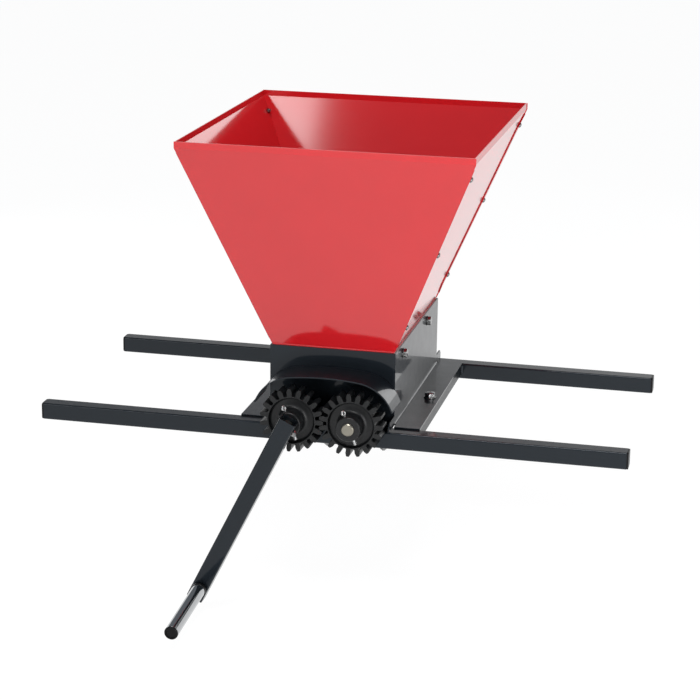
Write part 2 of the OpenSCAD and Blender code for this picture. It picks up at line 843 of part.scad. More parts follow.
module gear_section(phase) {
    polygon([
        for (i = [0:gear_teeth - 1])
            let (middle = phase + i * 360 / gear_teeth)
            each concat([for (p = tooth_flank) polar(p[0], middle - p[1])],
                        [for (p = backwards(tooth_flank)) polar(p[0], middle + p[1])])
    ]);
}

// Ring cut that dishes the web, with a wide fillet at the hub and a smaller one at the rim
module web_cut() {
    steps = 6;
    inner = min(web_fillet, web_recess - 0.5);
    outer = min(web_corner, web_recess - 0.5);
    rotate_extrude($fn = 96) polygon(concat(
        [[hub_radius, web_recess + 1]],
        [for (i = [0:steps])
            let (a = 90 * i / steps) [hub_radius + inner * (1 - cos(a)), inner * (1 - sin(a))]],
        [for (i = [0:steps])
            let (a = 90 * i / steps) [web_radius - web_draft - outer * (1 - sin(a)), outer * (1 - cos(a))]],
        [[web_radius, web_recess + 1]]
    ));
}

// Places a shape on the axis of a hub bolt, with Z pointing to its eye
module at_hub_bolt(x) {
    translate([x, -hub_bolt_y, shaft_z]) rotate([0, hub_bolt_tilt, 0]) children();
}

// Cast spur gear with a dished web and a long hub, drilled for its cross bolt
module gear(x, phase) {
    straight = gear_face + hub_length - hub_chamfer;
    color("#26282a") difference() {
        towards_crank(x, gear_back, shaft_z) difference() {
            union() {
                linear_extrude(gear_face) gear_section(phase);
                cylinder(r = hub_radius, h = straight);
                translate([0, 0, straight])
                    cylinder(r1 = hub_radius, r2 = hub_radius - hub_chamfer, h = hub_chamfer);
            }
            translate([0, 0, gear_face - web_recess]) web_cut();
            translate([0, 0, web_recess]) mirror([0, 0, 1]) web_cut();
            translate([0, 0, -1]) cylinder(r = seat_radius, h = gear_face + hub_length + 2);
        }
        at_hub_bolt(x) bolt_hole(hub_bolt, hub_diameter);
    }
}

// Slim bolt across a hub: its eye stands on the hub and its other end shows below
module hub_bolt_at(x) {
    eye = 1.2 * hub_bolt;
    shank = 2 * hub_radius + hub_bolt_end + 0.3 * hub_bolt;
    color("#c4c6c8") at_hub_bolt(x) {
        translate([0, 0, -hub_radius - hub_bolt_end]) cylinder(d = hub_bolt, h = shank);
        translate([0, 0, hub_radius + eye + fit_gap])
            rotate([90, 0, hub_eye_turn]) difference() {
                cylinder(r = eye, h = 0.8 * hub_bolt, center = true);
                cylinder(r = eye / 2, h = hub_bolt, center = true);
            }
    }
}

// Each gear has a tooth where the other has a gap
module drive_gear() { gear(-shaft_x, 0); }

module driven_gear() { gear(shaft_x, 180 + 180 / gear_teeth); }

module drive_hub_bolt() { hub_bolt_at(-shaft_x); }

module driven_hub_bolt() { hub_bolt_at(shaft_x); }

// Crank and handle

// The crank hangs along -Z from the drive shaft before it is turned to its angle
module on_crank() {
    translate([-shaft_x, 0, shaft_z]) rotate([0, crank_angle, 0]) children();
}

// The handle's axis starts at the middle of the crank tube and points along +Z, with its droop
module on_handle() {
    towards_crank(handle_x, arm_middle, handle_z) rotate([handle_droop, 0, 0]) children();
}

module crank_arm() {
    color("#24272b") difference() {
        on_crank() difference() {
            translate([0, -arm_middle, -crank_throw - arm_tail])
                linear_extrude(crank_throw + arm_tail + arm_head)
                    tube_section(arm_side, arm_side, arm_wall);
            towards_crank(0, arm_back - end_gap, 0) cylinder(r = shaft_radius + hole_gap, h = arm_side / 2);
            translate([0, -arm_middle, 0]) rotate([0, 90, 0]) bolt_hole(crank_bolt_size, arm_side);
            translate([-arm_side / 2 - 1, -arm_middle, 0]) rotate([0, 90, 0])
                cylinder(r1 = crank_bolt_size + hole_gap + 1, r2 = crank_bolt_size / 2 + hole_gap,
                         h = crank_bolt_size / 2 + 1);
        }
        on_handle() bolt_hole(handle_pin_diameter, arm_side);
    }
}

// The bolt's head lies flush in one side of the crank and its nut stands on the other
module crank_bolt() {
    radius = crank_bolt_size / 2;
    length = arm_side + nut_height(crank_bolt_size) + thread_end;
    color("#c4c6c8") on_crank() translate([-arm_side / 2, -arm_middle, 0]) rotate([0, 90, 0]) {
        cylinder(r1 = crank_bolt_size, r2 = radius - 0.5, h = radius + 0.5);
        translate([0, 0, radius / 2]) cylinder(r = radius, h = length - radius / 2);
    }
}

module crank_nut() {
    color("#b8babc") on_crank() translate([arm_side / 2, -arm_middle, 0]) rotate([0, -90, 0])
        hex_nut(crank_bolt_size);
}

// The pin's head sits inside the handle and its other end is bolted through the crank
module handle_pin() {
    tail = pin_nut_front + nut_height(handle_pin_diameter) + thread_end;
    color("#9a9a98") on_handle() {
        translate([0, 0, -tail]) cylinder(d = handle_pin_diameter, h = pin_head_back + pin_head + tail);
        translate([0, 0, pin_head_back]) cylinder(r = pin_head_bore - handle_gap, h = pin_head);
    }
}

module handle_pin_nut() {
    color("#b8babc") on_handle() translate([0, 0, -pin_nut_front]) hex_nut(handle_pin_diameter);
}

// Tube that turns on the pin, counterbored for the pin's head and the end cap
module handle_sleeve() {
    color("#b9bcbf") on_handle() difference() {
        translate([0, 0, handle_back]) cylinder(r = handle_radius, h = handle_front - handle_back);
        cylinder(r = handle_bore, h = far);
        translate([0, 0, pin_head_back - handle_gap]) cylinder(r = pin_head_bore, h = far);
    }
}

// Plug with a rounded flange that closes the handle's end
module handle_cap() {
    straight = handle_cap_flange - handle_cap_round;
    color("#17181a") on_handle() translate([0, 0, handle_front]) {
        translate([0, 0, -handle_cap_plug]) cylinder(r = pin_head_bore - fit_gap, h = handle_cap_plug);
        cylinder(r = handle_radius, h = straight);
        translate([0, 0, straight])
            cylinder(r1 = handle_radius, r2 = handle_radius - handle_cap_round, h = handle_cap_round);
    }
}

front_bar();
rear_bar();
bar_end_caps();
left_rail();
right_rail();
left_wall();
right_wall();
front_wall();
rear_wall();
hopper_front_panel();
hopper_rear_panel();
hopper_left_panel();
hopper_right_panel();
hopper_screws();
hopper_nuts();
wall_bolts();
wall_washers();
wall_nuts();
foot_bolts();
foot_washers();
foot_nuts();
gear_guard();
drive_front_bush();
drive_rear_bush();
driven_front_bush();
driven_rear_bush();
drive_shaft();
drive_roller();
drive_roller_pins();
drive_gear();
drive_hub_bolt();
crank_arm();
crank_bolt();
crank_nut();
handle_pin();
handle_pin_nut();
driven_shaft();
driven_roller();
driven_roller_pins();
driven_gear();
driven_hub_bolt();
handle_sleeve();
handle_cap();
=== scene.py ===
# %% [markdown]
# # A hand-cranked grape crusher
#
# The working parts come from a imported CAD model: bars, walls, hopper panels, gears, rollers, shafts and
# crank. Blender never moves or reshapes them. This lesson gives every surface its finish, makes the small
# pieces that are better as modelled meshes (bolts with chamfers and threads, moulded caps, weld beads),
# and sets up a plain studio round them.

# %% Load the frame
import json
import math

import bmesh
import bpy
import numpy as np
from mathutils import Matrix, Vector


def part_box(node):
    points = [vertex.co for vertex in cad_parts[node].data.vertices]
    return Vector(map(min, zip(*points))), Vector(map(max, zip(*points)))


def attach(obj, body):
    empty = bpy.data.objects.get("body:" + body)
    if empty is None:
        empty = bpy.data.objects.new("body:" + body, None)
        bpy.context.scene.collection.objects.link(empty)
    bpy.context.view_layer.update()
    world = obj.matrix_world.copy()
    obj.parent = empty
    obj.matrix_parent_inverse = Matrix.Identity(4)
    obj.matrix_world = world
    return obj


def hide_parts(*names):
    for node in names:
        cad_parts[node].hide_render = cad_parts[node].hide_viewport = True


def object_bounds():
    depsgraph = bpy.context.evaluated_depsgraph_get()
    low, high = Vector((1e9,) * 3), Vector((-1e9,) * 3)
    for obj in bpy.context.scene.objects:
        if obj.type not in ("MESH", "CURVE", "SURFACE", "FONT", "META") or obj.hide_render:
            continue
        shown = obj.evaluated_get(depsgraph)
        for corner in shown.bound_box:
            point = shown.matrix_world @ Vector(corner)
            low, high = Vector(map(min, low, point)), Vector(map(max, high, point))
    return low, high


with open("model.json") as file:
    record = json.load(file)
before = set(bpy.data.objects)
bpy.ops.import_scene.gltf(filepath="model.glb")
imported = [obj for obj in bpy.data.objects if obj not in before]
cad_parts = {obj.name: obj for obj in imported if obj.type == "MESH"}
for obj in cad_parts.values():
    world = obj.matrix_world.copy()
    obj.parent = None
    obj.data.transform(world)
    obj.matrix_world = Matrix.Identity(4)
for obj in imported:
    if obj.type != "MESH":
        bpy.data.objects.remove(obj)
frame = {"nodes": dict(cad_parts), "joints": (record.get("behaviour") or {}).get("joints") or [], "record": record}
cad_low, cad_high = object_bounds()
NODES = frame["nodes"]

# %% [markdown]
# ## Objects and where they stand
#
# Camera, lamps, floor and every new piece are objects that are linked to the scene, and the camera and
# the lamps are turned as well. Blender offers angles, quaternions and constraints for that. Three axes
# and a place are easier to reason about, and written side by side they are the object's matrix.

# %% Objects and poses


def add_object(name, data):
    """A new object in the scene, at the origin."""
    made = bpy.data.objects.new(name, data)
    bpy.context.scene.collection.objects.link(made)
    return made


def posed(right, up, back, place):
    """Matrix of an object at a place, whose own X, Y and Z point right, up and back."""
    matrix = np.eye(4)
    matrix[:3] = np.stack([right, up, back, place], axis=-1)
    return Matrix(matrix.tolist())


print("objects and poses ready")

# %% [markdown]
# ## The camera
#
# The camera was fitted to the photograph: it stands 3.5 m away, a little to the right of the crank and
# above it. A Track To constraint could aim it, but its three axes are known here: "back" points from the
# crusher to the camera, "right" and "up" follow from it, and a small roll turns those two. The middle of
# the picture shows a point near the origin, so the camera is moved by the same amount to the right and
# up.

# %% Camera
AZIMUTH, ELEVATION, ROLL = map(math.radians, (12.847, 16.258, 0.790))
DISTANCE = 3.510355
FOCAL_PIXELS, FRAME_PIXELS, SENSOR = 2098.616, 700, 36.0
AIM_RIGHT, AIM_UP = -0.010785, 0.089725


def camera_axes(azimuth, elevation, roll):
    """Back comes from two angles, right is level with the floor, and a roll turns right and up."""
    back = np.array([math.sin(azimuth) * math.cos(elevation),
                     -math.cos(azimuth) * math.cos(elevation), math.sin(elevation)])
    level = np.array([math.cos(azimuth), math.sin(azimuth), 0.0])
    upright = np.cross(back, level)
    right = math.cos(roll) * level + math.sin(roll) * upright
    up = -math.sin(roll) * level + math.cos(roll) * upright
    return right, up, back


right, up, back = camera_axes(AZIMUTH, ELEVATION, ROLL)
camera_place = AIM_RIGHT * right + AIM_UP * up + DISTANCE * back
camera = add_object("camera", bpy.data.cameras.new("camera"))
camera.data.sensor_width = SENSOR
camera.data.lens = FOCAL_PIXELS / FRAME_PIXELS * SENSOR
camera.matrix_world = posed(right, up, back, camera_place)
bpy.context.scene.camera = camera
print("camera at", np.round(camera_place, 3), "lens", round(camera.data.lens, 1))

# %% [markdown]
# ## Shader maths as arithmetic
#
# A finish is a little formula over the surface: a noise here, a mask there, mixed into a colour.
# Blender's shader editor builds that from Math nodes. Wrapping a socket in a small class with overloaded
# operators lets the formula be read as a formula, and one method adds any other node from its type, its
# settings and what its sockets hold.

# %% A socket as a value


class Value:
    """A node's output. Arithmetic on values adds Math nodes to the tree that they belong to."""

    def __init__(self, nodes, socket):
        self.nodes, self.socket = nodes, socket

    def maths(self, operation, first, second):
        return self.nodes.node("Math", {"operation": operation}, {0: first, 1: second})

    def __add__(self, other):
        return self.maths("ADD", self, other)

    def __radd__(self, other):
        return self.maths("ADD", other, self)

    def __mul__(self, other):
        return self.maths("MULTIPLY", self, other)

    def __rmul__(self, other):
        return self.maths("MULTIPLY", other, self)

    def larger(self, other):
        return self.maths("MAXIMUM", self, other)


print("values add and multiply")

# %% A tree of nodes
# Of a Mix node's many sockets, these are its factor, its two colours and the colour that they give
MIX_FACTOR, MIX_FIRST, MIX_SECOND, MIX_RESULT = 0, 6, 7, 2


class Nodes:
    """A node tree that formulas add their nodes to."""

    def __init__(self, tree):
        self.tree = tree

    def node(self, kind, settings, inputs, output=0):
        """Adds a node: its settings come first, then each socket gets a value or a link."""
        made = self.tree.nodes.new("ShaderNode" + kind)
        for key, setting in settings.items():
            if key == "stops":
                self.set_stops(made.color_ramp, setting)
            else:
                setattr(made, key, setting)
        for key, content in inputs.items():
            if isinstance(content, Value):
                self.tree.links.new(content.socket, made.inputs[key])
            else:
                made.inputs[key].default_value = content
        return Value(self, made.outputs[output])

    def set_stops(self, ramp, stops):
        """Gives the two stops of a new colour ramp their places and colours."""
        for element, (position, colour) in zip(ramp.elements, stops):
            element.position, element.color = position, colour

    def blend(self, first, second, factor):
        """Mixes two colours by a factor."""
        colours = {MIX_FIRST: (*first, 1), MIX_SECOND: (*second, 1)}
        return self.node("Mix", {"data_type": "RGBA"}, {MIX_FACTOR: factor, **colours}, MIX_RESULT)


print("node trees ready")

# %% A finish
EDGE_SAMPLES = 6
FINISHES = {}


def socket_name(word):
    """The name of a shader's socket, from a word written in Python's way."""
    return word.replace("_", " ").title().replace("Ior", "IOR")


class Finish(Nodes):
    """A material with one Principled shader, built by formulas over the piece's own coordinates."""

    def __init__(self, name, **constants):
        self.material = bpy.data.materials.new(name)
        self.material.use_nodes = True
        super().__init__(self.material.node_tree)
        self.shader = self.tree.nodes["Principled BSDF"]
        for word, value in constants.items():
            self.shader.inputs[socket_name(word)].default_value = value
        self.place = self.node("TexCoord", {}, {}, "Object")

    def noise(self, scale, detail=2.0, roughness=0.5, at=None):
        """Soft random values from 0 to 1, with a given number of waves to the metre."""
        inputs = {"Vector": at or self.place, "Scale": scale, "Detail": detail, "Roughness": roughness}
        return self.node("TexNoise", {}, inputs)

    def mask(self, value, start, end):
        """0 below the start, 1 above the end, and a slope between them."""
        stops = [(start, (0, 0, 0, 1)), (end, (1, 1, 1, 1))]
        return self.node("ValToRGB", {"stops": stops}, {"Fac": value})

    def stretched(self, x, y, z):
        """The piece's coordinates, drawn out or packed along each axis."""
        return self.node("Mapping", {}, {"Vector": self.place, "Scale": (x, y, z)})

    def edges(self, radius):
        """Normals that round every sharp edge by a radius, so that it catches the light as a real one."""
        return self.node("Bevel", {"samples": EDGE_SAMPLES}, {"Radius": radius})

    def bump(self, height, depth, strength, normal=None):
        """Tilts the normals by a height field of a given depth in metres."""
        inputs = {"Height": height, "Distance": depth, "Strength": strength}
        if normal:
            inputs["Normal"] = normal
        return self.node("Bump", {}, inputs)

    def set(self, **links):
        """Links formulas to the shader's own sockets."""
        for word, value in links.items():
            self.tree.links.new(value.socket, self.shader.inputs[socket_name(word)])
        return self.material


print("finishes ready")

# %% [markdown]
# ## Red powder coat
#
# The hopper is folded sheet, sprayed with red powder and baked. Baked powder levels into a thick, glossy
# skin with a slight orange peel. A texture picture could carry that, but two noises do it at any scale: a
# broad one lets the red vary by a few percent, a fine one tilts the normals. A clear coat on top gives
# the pale sheen that the panels take from white surroundings.

# %% Red powder coat
RED_DEEP, RED_FULL = (0.64, 0.0105, 0.0155), (0.71, 0.0135, 0.0195)


def red_powder_coat():
    """Red mixed by broad noise, orange peel of 2 mm waves, roughness that wanders a little."""
    paint = Finish("red_powder_coat", specular_ior_level=0.0, coat_weight=1.0, coat_roughness=0.09,
                   coat_ior=1.7)
    colour = paint.blend(RED_DEEP, RED_FULL, paint.noise(9.0, 3.0))
    roughness = 0.24 + 0.12 * paint.noise(60.0)
    normal = paint.bump(paint.noise(480.0), 0.0004, 0.10, paint.edges(0.0007))
    return paint.set(base_color=colour, roughness=roughness, normal=normal)


FINISHES["red_paint"] = red_powder_coat()
print("made", FINISHES["red_paint"].name)

# %% [markdown]
# ## Black enamel
#
# Bars, rails, walls, guard and crank are welded or folded steel under a blue-black gloss enamel. Black
# paint has almost no colour of its own: what is seen is what it mirrors. So the work goes into the gloss:
# a low, slightly uneven roughness, a faint peel, and rounded edges that draw a thin light line along
# every fold. The rails under the feet get a second enamel with weaker reflections, made by the same
# function: that is painted shade, which darkens what the rails mirror.

# %% Black enamel
ENAMEL_DARK, ENAMEL_BLUE = (0.0020, 0.0026, 0.0036), (0.0042, 0.0054, 0.0074)
ENAMEL_TINT = (0.60, 0.80, 1.0, 1)


def black_enamel(name, gloss, sheen):
    """Blue-black mixed by noise, gloss that wanders, fine dust that lifts the roughness in specks."""
    paint = Finish(name, specular_ior_level=sheen, specular_tint=ENAMEL_TINT, coat_weight=gloss,
                   coat_roughness=0.05, coat_ior=1.42)
    colour = paint.blend(ENAMEL_DARK, ENAMEL_BLUE, paint.noise(14.0, 3.0))
    specks = paint.mask(paint.noise(900.0, 1.0), 0.66, 0.72)
    roughness = 0.36 + 0.10 * paint.noise(40.0) + 0.12 * specks
    normal = paint.bump(paint.noise(420.0), 0.0004, 0.04, paint.edges(0.0009))
    return paint.set(base_color=colour, roughness=roughness, normal=normal)


FINISHES["black_paint"] = black_enamel("black_enamel", gloss=0.6, sheen=0.28)
# The rails' enamel reflects less than the rest: its weaker reflections are painted shade.
rails_painted_shade_enamel = black_enamel("black_enamel_painted_shade", gloss=0.25, sheen=0.12)
print("made", FINISHES["black_paint"].name, rails_painted_shade_enamel.name)

# %% [markdown]
# ## Satin black castings
#
# The gears are sand castings under a thin satin paint, so the grain of the sand still shows. A Voronoi
# pattern would look like pebbles; two noises added, one coarse and one fine, look like sand. The paint is
# a little greyer on the high spots, where it is thin.

# %% Satin black castings
CASTING_DARK, CASTING_GREY = (0.004, 0.0044, 0.005), (0.012, 0.0128, 0.014)


def satin_black_casting():
    """Sand grain as two noises added, painted dark with greyer high spots."""
    paint = Finish("satin_black_casting", specular_ior_level=0.4)
    grain = 0.6 * paint.noise(260.0, 4.0, 0.65) + 0.4 * paint.noise(1100.0)
    colour = paint.blend(CASTING_DARK, CASTING_GREY, paint.mask(grain, 0.45, 0.68))
    normal = paint.bump(grain, 0.0005, 0.35, paint.edges(0.0011))
    return paint.set(base_color=colour, roughness=0.30 + 0.18 * grain, normal=normal)


FINISHES["black_casting"] = satin_black_casting()
print("made", FINISHES["black_casting"].name)

# %% [markdown]
# ## Bare metals
#
# Four bare metals are on the crusher, and they differ in the marks that making them leaves. The cast
# aluminium of the rollers has a soft mottled skin. A turned shaft has fine rings about its own axis,
# which runs along Y, so waves packed along Y draw them. The zinc on the fasteners is a crystal haze,
# bright on most of them and duller on the bolts in the gear hubs. The chrome of the handle is a mirror
# with a few hairlines along it. Pictures of metal would need a map laid out on every bolt; noise in a
# piece's own coordinates needs none.

# %% Cast aluminium and turned steel
ALUMINIUM_DARK, ALUMINIUM_LIGHT = (0.42, 0.425, 0.43), (0.62, 0.625, 0.63)
STEEL_DARK, STEEL_LIGHT = (0.24, 0.225, 0.185), (0.36, 0.34, 0.29)


def cast_aluminium():
    """Mottled light grey metal: broad noise for tone, fine noise for the skin of the casting."""
    metal = Finish("cast_aluminium", metallic=1.0)
    skin = metal.noise(340.0, 4.0, 0.6)
    colour = metal.blend(ALUMINIUM_DARK, ALUMINIUM_LIGHT, metal.noise(22.0, 4.0))
    normal = metal.bump(skin, 0.0004, 0.3, metal.edges(0.0008))
    return metal.set(base_color=colour, roughness=0.32 + 0.22 * skin, normal=normal)


def turned_steel():
    """Steel with turning rings: noise packed tightly along Y and drawn out across it."""
    metal = Finish("turned_steel", metallic=1.0)
    rings = metal.noise(1.0, at=metal.stretched(20.0, 2600.0, 20.0))
    colour = metal.blend(STEEL_DARK, STEEL_LIGHT, metal.noise(90.0, 3.0))
    normal = metal.bump(rings, 0.0002, 0.25, metal.edges(0.0006))
    return metal.set(base_color=colour, roughness=0.24 + 0.2 * rings, normal=normal)


FINISHES["cast_aluminium"] = cast_aluminium()
FINISHES["bright_steel"] = turned_steel()
print("made", FINISHES["cast_aluminium"].name, FINISHES["bright_steel"].name)

# %% Zinc plate and chrome
ZINC_COOL, ZINC_WARM = (0.20, 0.205, 0.215), (0.31, 0.31, 0.30)
DULL_ZINC_COOL, DULL_ZINC_WARM = (0.44, 0.45, 0.46), (0.54, 0.54, 0.53)
CHROME_DARK, CHROME_LIGHT = (0.41, 0.42, 0.43), (0.50, 0.51, 0.52)


def zinc_plate(name, cool, warm, smooth):
    """Crystal haze of cells mixed between a cool and a warm grey, on a base of a given roughness."""
    metal = Finish(name, metallic=1.0)
    cells = metal.node("TexVoronoi", {}, {"Vector": metal.place, "Scale": 900.0}, "Color")
    haze = metal.node("SeparateColor", {}, {"Color": cells})
    colour = metal.blend(cool, warm, haze)
    normal = metal.bump(metal.noise(1500.0), 0.0001, 0.15, metal.edges(0.0004))
    return metal.set(base_color=colour, roughness=smooth + 0.10 * haze, normal=normal)


def chrome():
    """Mirror metal with hairlines: noise drawn out along Y lifts the roughness in thin streaks."""
    metal = Finish("chrome", metallic=1.0)
    hairs = metal.mask(metal.noise(1.0, 3.0, at=metal.stretched(2200.0, 30.0, 2200.0)), 0.5, 0.8)
    colour = metal.blend(CHROME_DARK, CHROME_LIGHT, metal.noise(30.0))
    return metal.set(base_color=colour, roughness=0.07 + 0.12 * hairs, normal=metal.edges(0.0008))


FINISHES["zinc"] = zinc_plate("zinc_plate", ZINC_COOL, ZINC_WARM, 0.11)
dull_zinc = zinc_plate("dull_zinc", DULL_ZINC_COOL, DULL_ZINC_WARM, 0.40)
FINISHES["chrome"] = chrome()
print("made", FINISHES["zinc"].name, dull_zinc.name, FINISHES["chrome"].name)

# %% [markdown]
# ## Plastics
#
# The caps in the bars and the handle are moulded black plastic with a fine spark-eroded texture. The
# bushes are turned from cream nylon, which is dull and a little uneven in tone. Both could be plain
# colours, but a noise in the normals keeps their highlights from looking like glass.

# %% Plastics
PLASTIC_DARK, PLASTIC_GREY = (0.003, 0.003, 0.0034), (0.006, 0.006, 0.0068)
NYLON_DARK, NYLON_LIGHT = (0.62, 0.58, 0.47), (0.74, 0.71, 0.61)


def moulded_plastic():
    """Black plastic with a fine even texture in its normals."""
    plastic = Finish("moulded_black_plastic", specular_ior_level=0.18)
    texture = plastic.noise(1600.0, 1.0)
    colour = plastic.blend(PLASTIC_DARK, PLASTIC_GREY, plastic.noise(70.0))
    normal = plastic.bump(texture, 0.0002, 0.2)
    return plastic.set(base_color=colour, roughness=0.30 + 0.14 * texture, normal=normal)


def cream_nylon():
    """Cream plastic whose tone drifts, with faint turning marks along Y."""
    plastic = Finish("cream_nylon")
    marks = plastic.noise(1.0, 1.0, at=plastic.stretched(30.0, 1800.0, 30.0))
    colour = plastic.blend(NYLON_DARK, NYLON_LIGHT, plastic.noise(50.0, 3.0))
    normal = plastic.bump(marks, 0.0002, 0.15)
    return plastic.set(base_color=colour, roughness=0.42 + 0.16 * marks, normal=normal)


FINISHES["black_plastic"] = moulded_plastic()
FINISHES["nylon"] = cream_nylon()
print("made", FINISHES["black_plastic"].name, FINISHES["nylon"].name)

# %% [markdown]
# ## Dressing the CAD nodes
#
# The imported record says which material slot each node has. A node's object already has one material,
# so its slot is filled with the finish of the same name, or, on the rails, with the enamel whose weaker
# reflections are painted shade. A wrong name stops the script, which is better than a node that quietly stays
# grey.

# %% Dress the nodes
# The rails take the enamel whose weaker reflections are painted shade.
NODE_FINISHES = {"left_rail": rails_painted_shade_enamel, "right_rail": rails_painted_shade_enamel}
for subpart in frame["record"]["subparts"]:
    materials = NODES[subpart["node"]].data.materials
    materials.clear()
    materials.append(NODE_FINISHES.get(subpart["node"], FINISHES[subpart["material_slot"]]))

# %% [markdown]
# ## Surfaces from grids
#
# Every new piece is a surface worked out on a grid of two parameters: whole arrays of points come from a
# formula, and the faces follow from the grid. One function joins such grids into a mesh, closes its poles
# and seams by merging points that fall together, turns its faces outwards and shades it smooth except at
# real corners. Blender's own primitives and modifiers could come close, but then the formulas would be
# hidden in their settings.

# %% Grids to meshes
MERGE, SHARP = 1e-6, math.radians(32)


def grid_faces(rows, columns, start):
    """Quads between neighbouring rows of a grid whose columns run round and close."""
    row = np.arange(rows - 1)[:, None] * columns
    column = np.arange(columns)[None, :]
    beside = (column + 1) % columns
    quads = np.stack([row + column, row + beside, row + columns + beside, row + columns + column], axis=-1)
    return quads.reshape(-1, 4) + start


def make_piece(name, grids, body, slot, replaced=(), finish=None):
    """Joins closed grids of points, each (rows, columns, 3), into one piece that rides on a body."""
    counts = np.cumsum([0] + [g.shape[0] * g.shape[1] for g in grids])
    points = np.concatenate([g.reshape(-1, 3) for g in grids])
    faces = np.concatenate([grid_faces(g.shape[0], g.shape[1], c) for g, c in zip(grids, counts)])
    mesh = bpy.data.meshes.new(name)
    mesh.from_pydata(points.tolist(), [], faces.tolist())
    shape = bmesh.new()
    shape.from_mesh(mesh)
    bmesh.ops.remove_doubles(shape, verts=shape.verts, dist=MERGE)
    bmesh.ops.recalc_face_normals(shape, faces=shape.faces)
    shape.to_mesh(mesh)
    shape.free()
    mesh.shade_smooth()
    mesh.set_sharp_from_angle(angle=SHARP)
    mesh.materials.append(finish or FINISHES[slot])
    piece = add_object(name, mesh)
    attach(piece, body)
    if replaced:
        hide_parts(*replaced)
    print(name, len(mesh.polygons), "faces on", body)


print("grids ready")

# %% Places for shapes
NEAR_VERTICAL = 0.9


def placed(points, origin, axis):
    """Carries points that stand on +Z to an origin, with Z along an axis."""
    axis = np.asarray(axis, float) / np.linalg.norm(axis)
    helper = np.array([0.0, 0.0, 1.0]) if abs(axis[2]) < NEAR_VERTICAL else np.array([0.0, 1.0, 0.0])
    side = np.cross(helper, axis)
    side /= np.linalg.norm(side)
    turn = np.stack([side, np.cross(axis, side), axis])
    return points @ turn + np.asarray(origin)


def spread(grids, places):
    """Copies of grids at each (origin, axis)."""
    return [placed(g, origin, axis) for origin, axis in places for g in grids]


print("places ready")

# %% [markdown]
# ## Bolts, nuts and washers
#
# A hexagon head isn't a plain prism: it is cut from hexagon bar and then turned, so a cone trims its six
# corners into curved chamfers. The smaller of two radii, the hexagon's and the cone's, gives that shape
# at once: over the angle and the height it is one formula. A thread is a cylinder whose radius follows a
# ridge that climbs one pitch a turn. Modelling each bolt by hand or with a bevelled cylinder would miss
# those curved chamfers.

# %% Turned shapes
TURN = 2 * math.pi
HEX_SIDES, ROUND_SIDES = 48, 32


def round_angles(sides):
    """Equal steps of a full turn, without the last one, which would repeat the first."""
    return np.linspace(0, TURN, sides, endpoint=False)


def revolved(radius, angle, height):
    """Points at a radius and an angle about Z and at a height, all three spread over one grid."""
    x, y, z = np.broadcast_arrays(radius * np.cos(angle), radius * np.sin(angle), height)
    return np.stack([x, y, z], axis=-1)


def turned(profile, sides=ROUND_SIDES):
    """A profile of (radius, height) points turned about Z."""
    profile = np.asarray(profile, float)
    return revolved(profile[:, :1], round_angles(sides), profile[:, 1:])


def below(points):
    """The same shape, hanging from Z = 0."""
    return points * np.array([1.0, -1.0, -1.0])


print("a turned disc has", turned([(0, 0), (1, 0)]).shape, "points")

# %% Hexagons
# Millimetres over the flats for each metre of thread, before rounding to a spanner's size
FLATS = 1650
CORNER_CUT, EDGE_CUT, CROWN, TINY = 0.62, 0.03, 0.08, 1e-9


def flats_of(thread):
    """Width over the flats of a hexagon for a thread, in whole millimetres."""
    return round(FLATS * thread) / 1000


def hexagon(thread, height, bore=0.0, domed=True):
    """At each angle and height the smaller of a hexagon's radius and that of a chamfered profile."""
    half = flats_of(thread) / 2
    corner = half / math.cos(math.pi / 6)
    chamfer = CORNER_CUT * (corner - half) + EDGE_CUT * thread
    crown = CROWN * thread if domed else 0.0
    under, face, inside = 0.96 * half, 0.93 * half, max(0.5 * half, bore)
    lift = (0.0 if domed else chamfer) + 0.02 * thread
    shoulder, swell = height - 0.2 * chamfer, height + 0.6 * crown
    profile = [(bore, 0.0), (under, 0.0), (corner, lift), (corner, height - chamfer), (half, shoulder),
               (face, height), (inside, swell), (bore, height + crown)]
    if bore:
        profile.append((bore, 0.0))
    solid = turned(profile, HEX_SIDES)
    sixth = math.pi / 3
    limit = half / np.cos((round_angles(HEX_SIDES) + sixth / 2) % sixth - sixth / 2)
    radius = np.maximum(np.hypot(solid[..., 0], solid[..., 1]), TINY)
    solid[..., :2] *= (np.minimum(radius, limit) / radius)[..., None]
    return solid


print("a hexagon for 8 mm has", hexagon(0.008, 0.005).shape, "points")

# %% Threads and washers
THREAD_ROWS, THREAD_DEPTH = 8, 0.3
WASHER_SHARE, WASHER_BORE, WASHER_EDGE = 0.2, 0.53, 0.03


def thread_rod(thread, pitch, length):
    """Rod up from Z = 0: its radius rises and falls once a pitch, and the ridge climbs one pitch a turn."""
    height = np.linspace(0.0, length, int(THREAD_ROWS * length / pitch))[:, None]
    angle = round_angles(ROUND_SIDES)[None, :]
    phase = (height / pitch - angle / TURN) % 1.0
    ridge = np.abs(2 * phase - 1)
    lead = np.clip((length - height) / pitch, 0, 1)
    radius = thread / 2 - THREAD_DEPTH * pitch * (1 - ridge * lead)
    ends = [np.broadcast_to([0, 0, z], (1, ROUND_SIDES, 3)) for z in (0.0, length)]
    return np.concatenate([ends[0], revolved(radius, angle, height), ends[1]])


def washer(thread):
    """Flat ring with broken edges; its outer radius is the thread's diameter."""
    inner, outer = WASHER_BORE * thread, thread
    thick, edge = WASHER_SHARE * thread, WASHER_EDGE * thread
    return turned([(inner, 0), (outer - edge, 0), (outer, edge), (outer, thick - edge),
                   (outer - edge, thick), (inner, thick), (inner, 0)], HEX_SIDES)


print("a thread of 10 mm has", thread_rod(0.006, 0.001, 0.01).shape, "points")

# %% [markdown]
# ## Fasteners in their places
#
# Each fastener stands where its CAD solid is: a box of the CAD node gives the places, so nothing is
# measured twice. The head, the shank with its thread, the washer and the nut are grids that are carried
# to those places and joined, and the new piece replaces the CAD node, which stays in the physics model.
# The row of small nuts under the front bar has no CAD solid: they are trim, and hang from the middle of
# the bar's underside.

